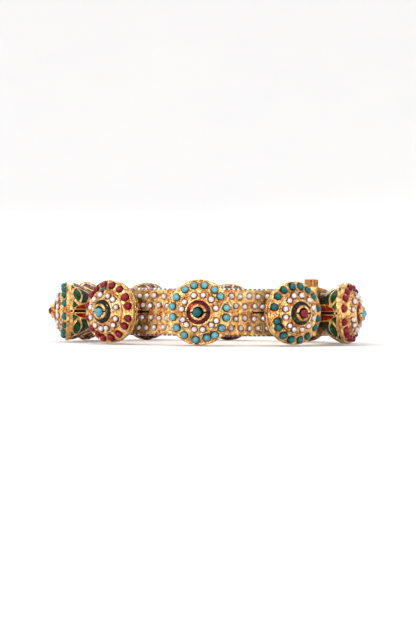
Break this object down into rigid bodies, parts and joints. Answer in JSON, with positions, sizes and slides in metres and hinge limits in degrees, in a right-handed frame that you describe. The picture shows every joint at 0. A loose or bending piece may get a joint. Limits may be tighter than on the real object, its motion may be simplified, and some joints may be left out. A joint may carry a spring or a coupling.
{
  "type": "pacheli bangle",
  "caption": "Hinged round bangle of enamelled gold with cup-shaped bosses set with beads and seed pearls, closed by a lift-out screw.",
  "frame": {"origin": "centre of the wrist opening, at the middle of the band's height", "axes": "+Z along the wrist opening, up when the bangle lies on its side; -Y towards boss c; angles run from -Y towards +X"},
  "size_m": [0.0869, 0.0909, 0.0176],
  "materials": {
    "gold": "polished, hand-worked",
    "turquoise_bead": "waxy polished stone",
    "ruby_bead": "polished stone",
    "emerald_bead": "polished stone",
    "maroon_enamel": "glossy enamel",
    "dark_green_enamel": "glossy enamel",
    "leaf_enamel": "glossy enamel",
    "night_enamel": "glossy enamel"
  },
  "bodies": {
    "front_half": {"band_front": "gold", "hinge_pin": "gold", "edge_enamel_front_top": "night_enamel", "edge_enamel_front_bottom": "night_enamel", "face_j": "gold", "beads_j": "ruby_bead", "enamel_ring_j": "maroon_enamel", "centre_bead_j": "turquoise_bead", "cup_skin_j": "leaf_enamel", "face_a": "gold", "beads_a": "emerald_bead", "enamel_ring_a": "maroon_enamel", "centre_bead_a": "ruby_bead", "cup_skin_a": "leaf_enamel", "face_b": "gold", "beads_b": "ruby_bead", "enamel_ring_b": "dark_green_enamel", "centre_bead_b": "turquoise_bead", "cup_skin_b": "leaf_enamel", "face_c": "gold", "beads_c": "turquoise_bead", "enamel_ring_c": "maroon_enamel", "centre_bead_c": "emerald_bead", "cup_skin_c": "leaf_enamel", "face_d": "gold", "beads_d": "emerald_bead", "enamel_ring_d": "dark_green_enamel", "centre_bead_d": "ruby_bead", "cup_skin_d": "leaf_enamel"},
    "back_half": {"band_back": "gold", "edge_enamel_back_top": "night_enamel", "edge_enamel_back_bottom": "night_enamel", "face_e": "gold", "beads_e": "ruby_bead", "enamel_ring_e": "maroon_enamel", "centre_bead_e": "turquoise_bead", "cup_skin_e": "leaf_enamel", "face_f": "gold", "beads_f": "turquoise_bead", "enamel_ring_f": "dark_green_enamel", "centre_bead_f": "emerald_bead", "cup_skin_f": "leaf_enamel", "face_g": "gold", "beads_g": "emerald_bead", "enamel_ring_g": "maroon_enamel", "centre_bead_g": "ruby_bead", "cup_skin_g": "leaf_enamel", "face_h": "gold", "beads_h": "ruby_bead", "enamel_ring_h": "dark_green_enamel", "centre_bead_h": "turquoise_bead", "cup_skin_h": "leaf_enamel", "face_i": "gold", "beads_i": "turquoise_bead", "enamel_ring_i": "maroon_enamel", "centre_bead_i": "emerald_bead", "cup_skin_i": "leaf_enamel"},
    "clasp_screw": {"clasp_screw": "gold"}
  },
  "joints": [
    {"name": "hinge", "type": "hinge", "parent": "front_half", "child": "back_half", "pos_m": [-0.02768, 0.01974, 0], "axis": [0, 0, 1], "range_deg": [0, 50]},
    {"name": "screw_lift", "type": "slide", "parent": "back_half", "child": "clasp_screw", "axis": [0, 0, 1], "range_m": [0, 0.013]}
  ]
}
